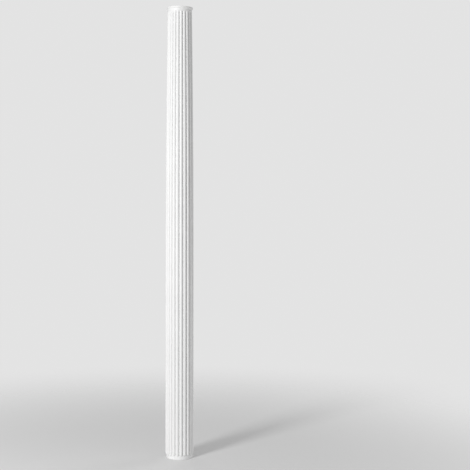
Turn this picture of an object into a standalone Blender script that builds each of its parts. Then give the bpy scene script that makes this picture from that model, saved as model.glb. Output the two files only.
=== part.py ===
"""Reeded column shaft: one moulded piece with entasis, a plain foot and a flared head."""

import math

import bmesh
import bpy

# Driving dimensions, in metres
SHAFT_HEIGHT = 2.400
LOWER_DIAMETER = 0.151          # over the crowns of the reeds, up to the taper
UPPER_DIAMETER = 0.1287         # over the crowns of the reeds, under the flare
TAPER_START_HEIGHT = 0.800      # the shaft is straight up to here

REED_COUNT = 22
REED_DEPTH = 0.0078             # crown to groove floor, at the lower diameter
GROOVE_FLOOR_WIDTH = 0.0028     # plain strip between two reeds, at the lower diameter

FOOT_DIAMETER = 0.141           # plain band under the reeds
FOOT_HEIGHT = 0.0195
REED_END_LENGTH = 0.007         # rounded lower end of each reed

HEAD_DIAMETER = 0.1385          # plain band above the reeds
HEAD_BAND_HEIGHT = 0.007
FLARE_HEIGHT = 0.012            # hollow curve from the neck out to the head band
NECK_HEIGHT = 0.005             # plain strip between the grooves and the flare
GROOVE_END_LENGTH = 0.012       # rounded upper end of each groove
ARRIS_RADIUS = 0.0015           # soft edge round both end faces

# How finely curves are cut
REED_SEGMENTS = 6
TAPER_SEGMENTS = 8
END_SEGMENTS = 4
ARRIS_SEGMENTS = 2

# The painted surface
SHAFT_COLOUR = (0.84, 0.84, 0.83, 1.0)
SHAFT_ROUGHNESS = 0.55
SMOOTH_ANGLE = math.radians(40.0)


# A level is the height of a ring, its groove floor radius, its crown radius and how far
# the reeds have ended there, from 0 in full to 1 at their tips.


def quarter_turn(segments):
    """Angles that cut a quarter circle into equal segments, both ends included."""
    return [0.5 * math.pi * step / segments for step in range(segments + 1)]


def neck_bottom():
    """Height at which the grooves have ended and the plain neck starts."""
    return SHAFT_HEIGHT - HEAD_BAND_HEIGHT - FLARE_HEIGHT - NECK_HEIGHT


def crown_radius(z):
    """Radius over the reeds: straight below the taper, then a cosine swell."""
    lower = 0.5 * LOWER_DIAMETER
    upper = 0.5 * UPPER_DIAMETER
    climbed = (z - TAPER_START_HEIGHT) / (neck_bottom() - TAPER_START_HEIGHT)
    climbed = min(max(climbed, 0.0), 1.0)
    if upper < lower:
        return lower * math.cos(climbed * math.acos(upper / lower))
    return lower + (upper - lower) * climbed * climbed


def reed_depth(z):
    """Reeds grow shallower as the shaft narrows."""
    return REED_DEPTH * crown_radius(z) / (0.5 * LOWER_DIAMETER)


def foot_levels():
    """Plain band at the bottom, from the end face to the start of the reeds."""
    radius = 0.5 * FOOT_DIAMETER
    levels = []
    for turn in quarter_turn(ARRIS_SEGMENTS):
        z = ARRIS_RADIUS * (1.0 - math.cos(turn))
        edge = radius - ARRIS_RADIUS * (1.0 - math.sin(turn))
        levels.append((z, edge, edge, 0.0))
    levels.append((FOOT_HEIGHT, radius, radius, 0.0))
    return levels


def reed_end_levels():
    """Lower ends of the reeds, each a rounded nose that grows out of the foot."""
    foot = 0.5 * FOOT_DIAMETER
    levels = []
    for turn in quarter_turn(END_SEGMENTS)[1:]:
        z = FOOT_HEIGHT + REED_END_LENGTH * (1.0 - math.cos(turn))
        crown = crown_radius(z)
        floor = foot + (crown - reed_depth(z) - foot) * math.sin(turn)
        levels.append((z, floor, crown, math.cos(turn)))
    return levels


def taper_levels():
    """The long reeded body, cut where its curve needs it."""
    start = max(TAPER_START_HEIGHT, FOOT_HEIGHT + 2.0 * REED_END_LENGTH)
    end = neck_bottom() - GROOVE_END_LENGTH
    levels = []
    for step in range(TAPER_SEGMENTS + 1):
        z = start + (end - start) * step / TAPER_SEGMENTS
        crown = crown_radius(z)
        levels.append((z, crown - reed_depth(z), crown, 0.0))
    return levels


def groove_end_levels():
    """Upper ends of the grooves, each curving out to the crowns of the reeds."""
    start = neck_bottom() - GROOVE_END_LENGTH
    levels = []
    for turn in quarter_turn(END_SEGMENTS)[1:]:
        z = start + GROOVE_END_LENGTH * math.sin(turn)
        crown = crown_radius(z)
        levels.append((z, crown - reed_depth(z) * math.cos(turn), crown, 0.0))
    return levels


def head_levels():
    """Plain neck, hollow flare and the band that it carries, up to the top face."""
    neck = 0.5 * UPPER_DIAMETER
    radius = 0.5 * HEAD_DIAMETER
    start = neck_bottom() + NECK_HEIGHT
    levels = [(start, neck, neck, 0.0)]
    for turn in quarter_turn(END_SEGMENTS)[1:]:
        flare = neck + (radius - neck) * (1.0 - math.cos(turn))
        levels.append((start + FLARE_HEIGHT * math.sin(turn), flare, flare, 0.0))
    for turn in quarter_turn(ARRIS_SEGMENTS):
        z = SHAFT_HEIGHT - ARRIS_RADIUS * (1.0 - math.sin(turn))
        edge = radius - ARRIS_RADIUS * (1.0 - math.cos(turn))
        levels.append((z, edge, edge, 0.0))
    return levels


def reed_section():
    """Angle of each point round the shaft, and its place across its reed from -1 to 1."""
    pitch = 2.0 * math.pi / REED_COUNT
    floor_angle = GROOVE_FLOOR_WIDTH / (0.5 * LOWER_DIAMETER)
    half_reed = 0.5 * (pitch - floor_angle)
    section = []
    for reed in range(REED_COUNT):
        centre = -0.5 * math.pi + (reed + 0.5) * pitch
        for step in range(REED_SEGMENTS + 1):
            turn = math.pi * (step / REED_SEGMENTS - 0.5)
            section.append((centre + half_reed * math.sin(turn), math.sin(turn)))
    return section


def add_ring(mesh, level, section):
    """One closed ring of vertices: floor radius in the grooves, half-round reeds above it."""
    z, floor, crown, ended = level
    ring = []
    for angle, across in section:
        bulge = math.sqrt(max(0.0, 1.0 - across * across - ended * ended))
        radius = floor + (crown - floor) * bulge
        ring.append(mesh.verts.new((radius * math.cos(angle), radius * math.sin(angle), z)))
    return ring


def build_shaft_mesh():
    """Stack the rings, skin them and close both ends with a flat face."""
    levels = foot_levels() + reed_end_levels() + taper_levels()
    levels += groove_end_levels() + head_levels()
    section = reed_section()
    mesh = bmesh.new()
    rings = [add_ring(mesh, level, section) for level in levels]
    count = len(section)
    for below, above in zip(rings, rings[1:]):
        for here in range(count):
            following = (here + 1) % count
            mesh.faces.new((below[here], below[following], above[following], above[here]))
    mesh.faces.new(rings[0])
    mesh.faces.new(rings[-1])
    bmesh.ops.recalc_face_normals(mesh, faces=mesh.faces)
    data = bpy.data.meshes.new("shaft")
    mesh.to_mesh(data)
    mesh.free()
    data.shade_smooth()
    data.set_sharp_from_angle(angle=SMOOTH_ANGLE)
    return data


def make_shaft_material():
    """Matt white primer on a moulded body."""
    material = bpy.data.materials.new("primed_white")
    material.use_nodes = True
    shader = material.node_tree.nodes["Principled BSDF"]
    shader.inputs["Base Color"].default_value = SHAFT_COLOUR
    shader.inputs["Roughness"].default_value = SHAFT_ROUGHNESS
    shader.inputs["Metallic"].default_value = 0.0
    return material


def clear_scene():
    for item in list(bpy.data.objects):
        bpy.data.objects.remove(item, do_unlink=True)


def main():
    clear_scene()
    shaft = bpy.data.objects.new("shaft", build_shaft_mesh())
    shaft.data.materials.append(make_shaft_material())
    bpy.context.scene.collection.objects.link(shaft)


main()
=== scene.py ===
import math
import bpy
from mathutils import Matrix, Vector


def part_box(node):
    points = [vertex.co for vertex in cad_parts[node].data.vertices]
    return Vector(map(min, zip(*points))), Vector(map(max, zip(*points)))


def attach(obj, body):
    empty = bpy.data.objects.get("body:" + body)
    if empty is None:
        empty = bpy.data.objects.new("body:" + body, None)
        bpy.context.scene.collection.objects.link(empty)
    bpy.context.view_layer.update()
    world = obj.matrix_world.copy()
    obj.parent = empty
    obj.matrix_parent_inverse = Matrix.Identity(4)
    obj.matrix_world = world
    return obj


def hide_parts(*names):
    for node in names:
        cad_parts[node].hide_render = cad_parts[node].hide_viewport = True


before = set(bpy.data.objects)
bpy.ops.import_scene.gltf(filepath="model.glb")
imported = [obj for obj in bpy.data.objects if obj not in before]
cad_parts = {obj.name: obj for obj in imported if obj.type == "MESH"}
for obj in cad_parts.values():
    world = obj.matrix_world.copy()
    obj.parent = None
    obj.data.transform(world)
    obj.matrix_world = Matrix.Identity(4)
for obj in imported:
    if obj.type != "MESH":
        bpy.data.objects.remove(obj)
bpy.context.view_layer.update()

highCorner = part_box("shaft")[1]
print("frame loaded, shaft", [round(value, 4) for value in highCorner])


class Flow:    # one output socket, so that node maths reads as plain arithmetic
    def __init__(self, tree, socket):
        self.tree = tree
        self.socket = socket

    def math(self, operation, first, second=None):
        values = {0: first} if second is None else {0: first, 1: second}
        return addNode(self.tree, "ShaderNodeMath", {"operation": operation}, values)

    def __add__(self, other):
        if isinstance(other, tuple):
            return addNode(self.tree, "ShaderNodeVectorMath", {"operation": "ADD"}, {0: self, 1: other})
        return self.math("ADD", self, other)

    def __radd__(self, other):
        return self.math("ADD", other, self)

    def __sub__(self, other):
        return self.math("SUBTRACT", self, other)

    def __rsub__(self, other):
        return self.math("SUBTRACT", other, self)

    def __mul__(self, other):
        return self.math("MULTIPLY", self, other)

    def __rmul__(self, other):
        return self.math("MULTIPLY", other, self)

    def __truediv__(self, other):
        return self.math("DIVIDE", self, other)

    def __rtruediv__(self, other):
        return self.math("DIVIDE", other, self)

    def __gt__(self, other):
        return self.math("GREATER_THAN", self, other)

    def call(self, operation, second=None):
        return self.math(operation, self, second)


def addNode(tree, nodeType, settings=None, values=None, output=0):
    node = tree.nodes.new(nodeType)
    for name, setting in (settings or {}).items():
        setattr(node, name, setting)
    for name, value in (values or {}).items():
        if isinstance(value, Flow):
            tree.links.new(value.socket, node.inputs[name])
        else:
            node.inputs[name].default_value = value
    return Flow(tree, node.outputs[output])


def split(vector, axis):
    return addNode(vector.tree, "ShaderNodeSeparateXYZ", None, {0: vector}, "XYZ".index(axis))


def shadeMix(colourA, colourB, factor):    # the Mix node's colour sockets share their names with others
    settings = {"data_type": "RGBA", "blend_type": "MIX"}
    return addNode(factor.tree, "ShaderNodeMix", settings, {0: factor, 6: colourA, 7: colourB}, 2)


# The shaft's sizes, in metres unless they count steps: what isn't here comes from the frame

shaftHeight = highCorner[2]
shaftSizes = {
    "lowerRadius": highCorner[0],
    "upperRadius": 0.06435,        # over the reeds, under the flare
    "taperStart": 0.800,
    "reeds": 22,
    "reedDepth": 0.0078,
    "grooveFloor": 0.0028,
    "fillet": 0.0007,              # where a reed springs from the groove floor
    "footRadius": 0.0705,
    "footHeight": 0.0195,
    "reedEnd": 0.007,
    "headRadius": 0.06925,
    "headBand": 0.007,
    "flareHeight": 0.012,
    "neckHeight": 0.005,
    "grooveEnd": 0.012,
    "arris": 0.0015,
    "reedSteps": 18,
    "filletSteps": 3,
    "taperRings": 48,
    "endRings": 12,
    "arrisRings": 6,
    "weld": 0.00001,               # points closer than this are one
    "sharpTurn": 50.0,             # degrees between faces past which an edge is sharp
}


def quarterTurn(steps):
    return [0.5 * math.pi * step / steps for step in range(steps + 1)]


def neckBottom():    # the grooves have ended here
    return shaftHeight - shaftSizes["headBand"] - shaftSizes["flareHeight"] - shaftSizes["neckHeight"]


def crownRadius(z):
    sizes = shaftSizes
    climbed = (z - sizes["taperStart"]) / (neckBottom() - sizes["taperStart"])
    climbed = min(max(climbed, 0.0), 1.0)
    swell = math.acos(sizes["upperRadius"] / sizes["lowerRadius"])
    return sizes["lowerRadius"] * math.cos(climbed * swell)


def reedDepth(z):
    return shaftSizes["reedDepth"] * crownRadius(z) / shaftSizes["lowerRadius"]


def footRings():    # each ring: crown radius, floor radius, height, how far the reeds have ended
    sizes = shaftSizes
    rings = [(0.0, 0.0, 0.0, 1.0)]
    for turn in quarterTurn(sizes["arrisRings"]):
        radius = sizes["footRadius"] - sizes["arris"] * (1.0 - math.sin(turn))
        rings.append((radius, radius, sizes["arris"] * (1.0 - math.cos(turn)), 1.0))
    rings.append((sizes["footRadius"], sizes["footRadius"], 0.5 * sizes["footHeight"], 1.0))
    for turn in quarterTurn(sizes["endRings"]):
        z = sizes["footHeight"] + sizes["reedEnd"] * (1.0 - math.cos(turn))
        floor = crownRadius(z) - reedDepth(z)
        floor = sizes["footRadius"] + (floor - sizes["footRadius"]) * math.sin(turn)
        rings.append((crownRadius(z), floor, z, math.cos(turn)))
    return rings


def bodyRings():
    sizes = shaftSizes
    end = neckBottom() - sizes["grooveEnd"]
    rings = []
    for step in range(sizes["taperRings"] + 1):
        z = sizes["taperStart"] + (end - sizes["taperStart"]) * step / sizes["taperRings"]
        rings.append((crownRadius(z), crownRadius(z) - reedDepth(z), z, 0.0))
    for turn in quarterTurn(sizes["endRings"])[1:]:
        z = end + sizes["grooveEnd"] * math.sin(turn)
        rings.append((crownRadius(z), crownRadius(z) - reedDepth(z) * math.cos(turn), z, 0.0))
    return rings


def headRings():
    sizes = shaftSizes
    start = neckBottom() + sizes["neckHeight"]
    rings = [(sizes["upperRadius"], sizes["upperRadius"], start, 0.0)]
    for turn in quarterTurn(sizes["endRings"])[1:]:
        radius = sizes["upperRadius"]
        radius += (sizes["headRadius"] - radius) * (1.0 - math.cos(turn))
        rings.append((radius, radius, start + sizes["flareHeight"] * math.sin(turn), 0.0))
    for turn in quarterTurn(sizes["arrisRings"]):
        radius = sizes["headRadius"] - sizes["arris"] * (1.0 - math.cos(turn))
        rings.append((radius, radius, shaftHeight - sizes["arris"] * (1.0 - math.sin(turn)), 0.0))
    rings.append((0.0, 0.0, shaftHeight, 0.0))
    return rings


# Round one reed and its groove, from the middle of one groove to the middle of the next.
# Each point: its place from -1 to 1, its place across the reed alone, the fillet's lift.

def reedSection():
    sizes = shaftSizes
    halfPitch = math.pi * sizes["lowerRadius"] / sizes["reeds"]
    halfReed = halfPitch - 0.5 * sizes["grooveFloor"]
    corner = []
    for turn in quarterTurn(sizes["filletSteps"])[:-1]:
        place = (halfReed + sizes["fillet"] * (1.0 - math.sin(turn))) / halfPitch
        corner.append((place, 1.0, sizes["fillet"] * (1.0 - math.cos(turn))))
    points = [(-1.0, -1.0, 0.0)]
    points += [(-place, -across, lift) for place, across, lift in corner]
    for step in range(sizes["reedSteps"] + 1):
        across = math.sin(math.pi * (step / sizes["reedSteps"] - 0.5))
        points.append((across * halfReed / halfPitch, across, sizes["fillet"]))
    points += corner[::-1]
    return points


def runShares(points):    # how far along its line each point lies, from 0 to 1
    runs = [0.0]
    for before, after in zip(points, points[1:]):
        runs.append(runs[-1] + math.dist(before, after))
    return [run / runs[-1] for run in runs]


def tableMesh(name, rows, columns):    # loose points, with an attribute for each column past the third
    mesh = bpy.data.meshes.new(name)
    mesh.from_pydata([row[:3] for row in rows], [], [])
    for column, title in enumerate(columns):
        values = mesh.attributes.new(title, "FLOAT", "POINT")
        for index, row in enumerate(rows):
            values.data[index].value = row[3 + column]
    return mesh


def profileTable():
    rings = footRings() + bodyRings() + headRings()
    climbs = runShares([(ring[0], ring[2]) for ring in rings[1:-1]])
    climbs = [0.0] + climbs + [1.0]    # both end faces lie outside the run of the skin
    rows = [ring + (climb,) for ring, climb in zip(rings, climbs)]
    return tableMesh("shaftProfile", rows, ("ended", "climb"))


def sectionTable():
    sizes = shaftSizes
    halfPitch = math.pi * sizes["lowerRadius"] / sizes["reeds"]
    points = reedSection()
    drawn = []
    for place, across, lift in points:
        height = sizes["reedDepth"] * math.sqrt(max(0.0, 1.0 - across * across))
        drawn.append((place * halfPitch, max(height, lift)))
    drawn.append((halfPitch, 0.0))
    rows = [point + (run,) for point, run in zip(points, runShares(drawn))]
    return tableMesh("reedSection", rows, ("run",))


bakeLayout = {    # the skin unrolled, its lower and upper halves side by side, and the ends above them
    "margin": 0.006,
    "skinHeight": 0.86,
    "metresAcross": 1.41,          # the map's width, as the ends are drawn on it
    "ends": (0.06, 0.17),          # centres of the foot's and the head's end
    "endsUp": 0.945,
}


def reedingTree():
    tree = bpy.data.node_groups.new("reeding", "GeometryNodeTree")
    sockets = tree.interface
    sockets.new_socket("Profile", in_out="INPUT", socket_type="NodeSocketGeometry")
    sockets.new_socket("Section", in_out="INPUT", socket_type="NodeSocketObject")
    sockets.new_socket("Reeds", in_out="INPUT", socket_type="NodeSocketInt")
    sockets.new_socket("Finish", in_out="INPUT", socket_type="NodeSocketMaterial")
    sockets.new_socket("Shaft", in_out="OUTPUT", socket_type="NodeSocketGeometry")
    given = tree.nodes.new("NodeGroupInput")
    profile, sectionObject, reeds, finish = [Flow(tree, socket) for socket in given.outputs[:4]]
    section = addNode(tree, "GeometryNodeObjectInfo", None, {"Object": sectionObject}, "Geometry")
    place = addNode(tree, "GeometryNodeInputPosition")

    def named(title):
        return addNode(tree, "GeometryNodeInputNamedAttribute", {"data_type": "FLOAT"}, {"Name": title})

    def lookUp(table, value, index, dataType="FLOAT"):
        settings = {"data_type": dataType, "domain": "POINT", "clamp": True}
        values = {"Geometry": table, "Value": value, "Index": index}
        return addNode(tree, "GeometryNodeSampleIndex", settings, values)

    def overFace(value):    # the mean over each face
        settings = {"data_type": "FLOAT", "domain": "FACE"}
        return addNode(tree, "GeometryNodeFieldOnDomain", settings, {"Value": value})

    def store(geometry, name, dataType, domain, value):
        settings = {"data_type": dataType, "domain": domain}
        values = {"Geometry": geometry, "Name": name, "Value": value}
        return addNode(tree, "GeometryNodeStoreNamedAttribute", settings, values)

    rings = addNode(tree, "GeometryNodeAttributeDomainSize", {"component": "MESH"}, {0: profile})
    perReed = addNode(tree, "GeometryNodeAttributeDomainSize", {"component": "MESH"}, {0: section})
    columns = reeds * perReed
    grid = addNode(tree, "GeometryNodeMeshGrid", None,
                   {"Size X": 1.0, "Size Y": 1.0, "Vertices X": columns + 1, "Vertices Y": rings})
    onGrid = Flow(tree, grid.socket.node.outputs["UV Map"])

    def address(spot):    # which ring, which reed and which point of its section
        ring = (split(spot, "Y") * (rings - 1)).call("ROUND")
        column = (split(spot, "X") * columns).call("ROUND")
        reed = ((column + 0.5) / perReed).call("FLOOR")
        return ring, reed, column - reed * perReed

    ring, reed, point = address(place + (0.5, 0.5, 0.0))
    sizes = lookUp(profile, place, ring, "FLOAT_VECTOR")
    crown, floor, z = split(sizes, "X"), split(sizes, "Y"), split(sizes, "Z")
    ended = lookUp(profile, named("ended"), ring)
    shape = lookUp(section, place, point, "FLOAT_VECTOR")
    aside, across, fillet = split(shape, "X"), split(shape, "Y"), split(shape, "Z")
    nose = (1.0 - ended * ended).call("MAXIMUM", 0.0).call("SQRT")
    bulge = (1.0 - across * across - ended * ended).call("MAXIMUM", 0.0).call("SQRT")
    lift = (fillet * nose).call("MINIMUM", crown - floor)
    radius = floor + ((crown - floor) * bulge).call("MAXIMUM", lift)
    angle = (reed + 0.5 + aside * 0.5) / reeds * (2.0 * math.pi) - 0.5 * math.pi
    moved = addNode(tree, "ShaderNodeCombineXYZ", None,
                    {0: radius * angle.call("COSINE"), 1: radius * angle.call("SINE"), 2: z})
    hollow = (crown - radius) / shaftSizes["reedDepth"]    # stored before the points leave their addresses
    skin = store(grid, "hollow", "FLOAT", "POINT", hollow)
    skin = addNode(tree, "GeometryNodeSetPosition", None, {"Geometry": skin, "Position": moved})

    # The same addresses once more for each face corner, to lay the skin out flat
    layout = bakeLayout
    ring, reed, point = address(onGrid)
    climb = lookUp(profile, named("climb"), ring)
    run = (reed + lookUp(section, named("run"), point)) / reeds
    band = overFace(split(onGrid, "Y") * (rings - 1)).call("FLOOR")    # the ring under each face
    upper = lookUp(profile, named("climb"), band) > 0.5
    atFoot = 1.0 - (band > 0.5)    # the lowest band is the foot's end, the last one the head's
    atHead = band > rings - 2.5
    atEnd = atFoot + atHead
    width = 0.5 - 2.0 * layout["margin"]
    endU = layout["ends"][0] * atFoot + layout["ends"][1] * atHead
    mirror = atHead - atFoot    # the foot is seen from below
    endU = endU + split(place, "X") * mirror / layout["metresAcross"]
    endV = layout["endsUp"] + split(place, "Y") / layout["metresAcross"]
    skinU = layout["margin"] + run * width + upper * 0.5
    skinV = layout["margin"] + (climb - upper * 0.5) * (2.0 * layout["skinHeight"])
    onSkin = 1.0 - atEnd
    flat = addNode(tree, "ShaderNodeCombineXYZ", None,
                   {0: endU * atEnd + skinU * onSkin, 1: endV * atEnd + skinV * onSkin})
    skin = store(skin, "OFBake", "FLOAT2", "CORNER", flat)
    weld = {"Geometry": skin, "Distance": shaftSizes["weld"]}
    skin = addNode(tree, "GeometryNodeMergeByDistance", None, weld)
    skin = addNode(tree, "GeometryNodeSetMaterial", None, {"Geometry": skin, "Material": finish})
    result = tree.nodes.new("NodeGroupOutput")
    tree.links.new(skin.socket, result.inputs[0])
    return tree


def setInputs(modifier, values):
    for item in modifier.node_group.interface.items_tree:
        if item.item_type == "SOCKET" and item.name in values:
            modifier[item.identifier] = values[item.name]


def makeShaft(finish):
    guide = bpy.data.objects.new("shaftGuide", profileTable())
    section = bpy.data.objects.new("reedSection", sectionTable())
    bpy.context.scene.collection.objects.link(guide)
    bpy.context.scene.collection.objects.link(section)
    modifier = guide.modifiers.new("reeding", "NODES")
    modifier.node_group = reedingTree()
    setInputs(modifier, {"Section": section, "Reeds": shaftSizes["reeds"], "Finish": finish})
    graph = bpy.context.evaluated_depsgraph_get()
    mesh = bpy.data.meshes.new_from_object(guide.evaluated_get(graph), depsgraph=graph)
    for helper in (guide, section):
        bpy.data.objects.remove(helper, do_unlink=True)
    mesh.name = "reededShaft"
    mesh.shade_smooth()
    mesh.set_sharp_from_angle(angle=math.radians(shaftSizes["sharpTurn"]))
    shaft = bpy.data.objects.new("reededShaft", mesh)
    bpy.context.scene.collection.objects.link(shaft)
    print("shaft skinned,", len(mesh.polygons), "faces")
    return shaft


primerLook = {
    "white": (0.840, 0.840, 0.838, 1.0),
    "paintedGrooveShade": (0.795, 0.795, 0.790, 1.0),      # painted shade, darker down between the reeds
    "rubbed": (0.856, 0.856, 0.854, 1.0),      # where the crowns have been handled
    "skin": (0.86, 0.84, 0.78, 1.0),           # dense rim of the sawn ends
    "foam": (0.87, 0.84, 0.75, 1.0),
    # painted shade inside the foam's pores
    "paintedPoreShade": (0.74, 0.69, 0.58, 1.0),
    "roughness": 0.50,
    "foamRoughness": 0.88,

    # Noise patterns: how many to a metre, detail, roughness, and how far each is moved
    "cloud": (5.0, 3.0, 0.5, 0.0),
    "mottle": (70.0, 4.0, 0.6, 0.31),
    "peel": (430.0, 2.0, 0.5, 0.77),
    "grit": (2150.0, 2.0, 0.6, 1.3),

    # Where each tone starts and is full, how much a pattern frays its edge, how much of it shows
    "grooveShadeDepth": (0.55, 1.0),                # share of the groove's depth
    "grooveShadeFray": 0.25,
    "grooveShadeShare": 0.8,
    "crownDepth": (0.0, 0.25),
    "rubbedCloud": (0.42, 0.62),
    "rubbedFray": 0.6,
    "rubbedShare": 0.7,
    "shades": (0.07, 0.05, 0.05),              # by cloud, mottle and grit
    "glosses": (0.14, 0.08, 0.05, 0.06),       # by mottle, cloud, the grooves under painted shade, and rubbed primer

    "pinholes": 60.0,                          # cells to a metre
    "pinholeSize": (0.012, 0.03),              # share of a cell
    "pinholeRarity": 0.94,                     # share of the cells that have none
    "pinholeShare": 0.8,

    # The sawn ends, in metres but for the pores
    "sawnDepth": (0.0001, 0.0003),
    "sawnFray": 0.0004,
    "skinWidth": 0.0035,
    "skinFray": 0.002,
    "pores": 900.0,                            # to a metre
    "poreSize": (0.15, 0.55),                  # share of a cell
    "poreMottle": (0.35, 0.7),

    # Relief in metres
    "peelRelief": 0.0002,
    "gritRelief": 0.00005,
    "cloudRelief": 0.0006,
    "pinholeRelief": 0.0004,
    "poreRelief": 0.0003,
}


def makePrimer():
    look = primerLook
    material = bpy.data.materials.new("whitePrimer")
    material.use_nodes = True
    tree = material.node_tree
    shader = tree.nodes["Principled BSDF"]
    spot = addNode(tree, "ShaderNodeTexCoord", None, None, "Object")

    def noise(scale, detail, roughness, offset):
        values = {"Vector": spot + (offset, offset, offset), "Scale": scale, "Detail": detail}
        values["Roughness"] = roughness
        return addNode(tree, "ShaderNodeTexNoise", {"noise_dimensions": "3D"}, values, "Fac")

    def cells(scale, output):
        values = {"Vector": spot, "Scale": scale}
        return addNode(tree, "ShaderNodeTexVoronoi", {"feature": "F1"}, values, output)

    def between(value, low, high):    # 0 below low, 1 above high, smooth in between
        settings = {"interpolation_type": "SMOOTHSTEP"}
        values = {"Value": value, "From Min": low, "From Max": high}
        return addNode(tree, "ShaderNodeMapRange", settings, values)

    hollow = addNode(tree, "ShaderNodeAttribute", {"attribute_name": "hollow"}, None, "Fac")
    patterns = [noise(*look[name]) - 0.5 for name in ("cloud", "mottle", "peel", "grit")]
    cloud, mottle, peel, grit = patterns    # each swings round 0

    # Primer: painted shade, a little darker down in the grooves by their depth, cleaner on the crowns
    paintedGrooveShade = between(hollow + mottle * look["grooveShadeFray"], *look["grooveShadeDepth"])
    worn = between(cloud + 0.5 + mottle * look["rubbedFray"], *look["rubbedCloud"])
    rubbed = (1.0 - between(hollow, *look["crownDepth"])) * worn
    colour = shadeMix(look["white"], look["paintedGrooveShade"], paintedGrooveShade * look["grooveShadeShare"])
    colour = shadeMix(colour, look["rubbed"], rubbed * look["rubbedShare"])
    byCloud, byMottle, byGrit = look["shades"]
    shade = cloud * byCloud + mottle * byMottle + grit * byGrit
    colour = addNode(tree, "ShaderNodeHueSaturation", None, {"Color": colour, "Value": shade + 1.0})

    # Pinholes left by air against the mould, a few to each hand's breadth, with painted shade inside them
    rare = split(cells(look["pinholes"], "Color"), "X") > look["pinholeRarity"]
    pinhole = (1.0 - between(cells(look["pinholes"], "Distance"), *look["pinholeSize"])) * rare
    colour = shadeMix(colour, look["paintedGrooveShade"], pinhole * look["pinholeShare"])

    # Sawn ends: bare foam inside a dense skin, with painted shade in the pores
    height = split(spot, "Z")
    fray = mottle * look["sawnFray"]
    shallow, deep = look["sawnDepth"]
    below = 1.0 - between(height + fray, shallow, deep)
    above = between(height - fray, shaftHeight - deep, shaftHeight - shallow)
    sawn = (below + above).call("MINIMUM", 1.0)
    flat = addNode(tree, "ShaderNodeVectorMath", {"operation": "MULTIPLY"}, {0: spot, 1: (1.0, 1.0, 0.0)})
    fromAxis = addNode(tree, "ShaderNodeVectorMath", {"operation": "LENGTH"}, {0: flat}, "Value")
    rim = shaftSizes["footRadius"] - look["skinWidth"]
    core = 1.0 - between(fromAxis + mottle * look["skinFray"], rim - look["skinWidth"], rim)
    pore = (1.0 - between(cells(look["pores"], "Distance"), *look["poreSize"])) * core
    foam = shadeMix(look["skin"], look["foam"], core)
    foam = shadeMix(foam, look["paintedPoreShade"], pore * between(mottle + 0.5, *look["poreMottle"]))
    colour = shadeMix(colour, foam, sawn)

    byMottle, byCloud, byGrooveShade, byRubbed = look["glosses"]
    gloss = look["roughness"] + mottle * byMottle + cloud * byCloud - paintedGrooveShade * byGrooveShade - rubbed * byRubbed
    roughness = gloss * (1.0 - sawn) + look["foamRoughness"] * sawn
    relief = peel * look["peelRelief"] + grit * look["gritRelief"] + cloud * look["cloudRelief"]
    relief = relief - pinhole * look["pinholeRelief"]
    relief = relief * (1.0 - sawn) - pore * sawn * look["poreRelief"]
    bump = addNode(tree, "ShaderNodeBump", None, {"Strength": 1.0, "Distance": 1.0, "Height": relief})
    for name, value in (("Base Color", colour), ("Roughness", roughness), ("Normal", bump)):
        tree.links.new(value.socket, shader.inputs[name])
    print("primer mixed")
    return material


studioSet = {
    "floorTone": 0.74,
    "floorRoughness": 0.8,
    "floorRadius": 6.0,
    "floorSides": 96,
    "floorFade": (0.4, 3.2),   # distances from the shaft between which the floor gives way to the backdrop
    "backdrop": 0.77,          # brightness of the backdrop as it is seen
    "air": 0.39,               # brightness of the light from all round
    "keyTurn": -36.8,          # degrees round from the front, to the left where negative
    "keyDistance": 4.5,
    "keyHeight": 2.04,
    "keySize": (0.93, 1.25),
    "keyPower": 146.5,
    "fillTurn": 120.0,
    "fillDistance": 3.5,
    "fillHeight": 0.6,
    "fillSize": (1.5, 2.0),
    "fillPower": 39.0,
    "backTurn": -160.0,
    "backDistance": 4.5,
    "backHeight": 2.2,
    "backSize": (1.2, 2.5),
    "backPower": 12.0,
    "topTurn": 0.0,
    "topDistance": 0.0,
    "topHeight": 5.0,
    "topSize": (2.0, 2.0),
    "topPower": 22.0,
}


def addFloor():
    radius = studioSet["floorRadius"]
    sides = studioSet["floorSides"]
    turns = [2.0 * math.pi * step / sides for step in range(sides)]
    rim = [(radius * math.cos(turn), radius * math.sin(turn), 0.0) for turn in turns]
    mesh = bpy.data.meshes.new("studioFloor")
    mesh.from_pydata(rim, [], [range(sides)])
    floor = bpy.data.objects.new("studioFloor", mesh)
    bpy.context.scene.collection.objects.link(floor)
    material = bpy.data.materials.new("paleFloor")
    material.use_nodes = True
    tree = material.node_tree
    tone = studioSet["floorTone"]
    shader = tree.nodes["Principled BSDF"]
    shader.inputs["Base Color"].default_value = (tone, tone, tone, 1.0)
    shader.inputs["Roughness"].default_value = studioSet["floorRoughness"]
    spot = addNode(tree, "ShaderNodeTexCoord", None, None, "Object")
    away = addNode(tree, "ShaderNodeVectorMath", {"operation": "LENGTH"}, {0: spot}, "Value")
    near, far = studioSet["floorFade"]
    fade = addNode(tree, "ShaderNodeMapRange", {"interpolation_type": "SMOOTHSTEP"},
                   {"Value": away, "From Min": near, "From Max": far, "To Min": 1.0, "To Max": 0.0})
    tree.links.new(fade.socket, shader.inputs["Alpha"])
    mesh.materials.append(material)


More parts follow.
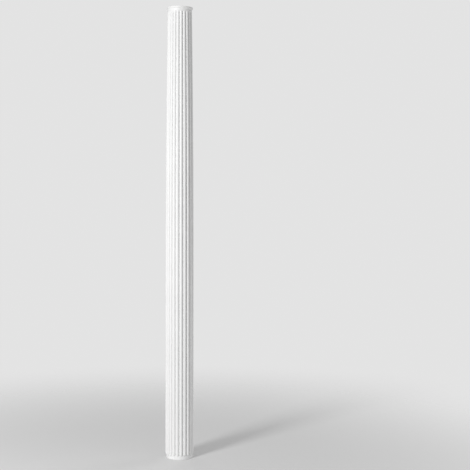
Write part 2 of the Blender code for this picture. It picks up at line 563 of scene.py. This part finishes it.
def addSoftbox(name, turn, distance, height, size, power):
    light = bpy.data.lights.new(name, "AREA")
    light.shape = "RECTANGLE"
    light.size, light.size_y = size
    light.energy = power
    lamp = bpy.data.objects.new(name, light)
    turn = math.radians(turn)
    lamp.location = (distance * math.sin(turn), -distance * math.cos(turn), height)
    aim = Vector((0.0, 0.0, 0.5 * shaftHeight)) - lamp.location
    lamp.rotation_euler = aim.to_track_quat("-Z", "Y").to_euler()
    lamp.visible_camera = False
    bpy.context.scene.collection.objects.link(lamp)


def lightStudio():
    scene = bpy.context.scene
    world = bpy.data.worlds.new("studioAir")
    scene.world = world
    world.use_nodes = True
    tree = world.node_tree
    seen = addNode(tree, "ShaderNodeLightPath", None, None, "Is Camera Ray")
    strength = studioSet["air"] + seen * (studioSet["backdrop"] - studioSet["air"])
    tree.nodes["Background"].inputs["Color"].default_value = (1.0, 1.0, 1.0, 1.0)
    tree.links.new(strength.socket, tree.nodes["Background"].inputs["Strength"])
    for name in ("key", "fill", "back", "top"):
        values = [studioSet[name + part] for part in ("Turn", "Distance", "Height", "Size", "Power")]
        addSoftbox(name + "Light", *values)
    scene.view_settings.view_transform = "Standard"
    print("studio lit")


cameraSet = {
    "place": (0.09, -5.707, 1.41),
    "tilt": 2.148,            # degrees down
    "turn": -2.064,           # degrees to the left; below 0 it looks past the right of the shaft
    "roll": -0.157,           # degrees, so that the shaft stands as straight as in the photo
    "lens": 81.77,
    "sensor": 36.0,
}


def placeCamera():
    lens = bpy.data.cameras.new("viewer")
    lens.sensor_width = cameraSet["sensor"]
    lens.lens = cameraSet["lens"]
    camera = bpy.data.objects.new("viewer", lens)
    camera.location = cameraSet["place"]
    angles = (90.0 - cameraSet["tilt"], cameraSet["roll"], cameraSet["turn"])
    camera.rotation_euler = [math.radians(angle) for angle in angles]
    bpy.context.scene.collection.objects.link(camera)
    bpy.context.scene.camera = camera


placeCamera()
addFloor()
lightStudio()
shaft = makeShaft(makePrimer())
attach(shaft, "root")
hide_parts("shaft")
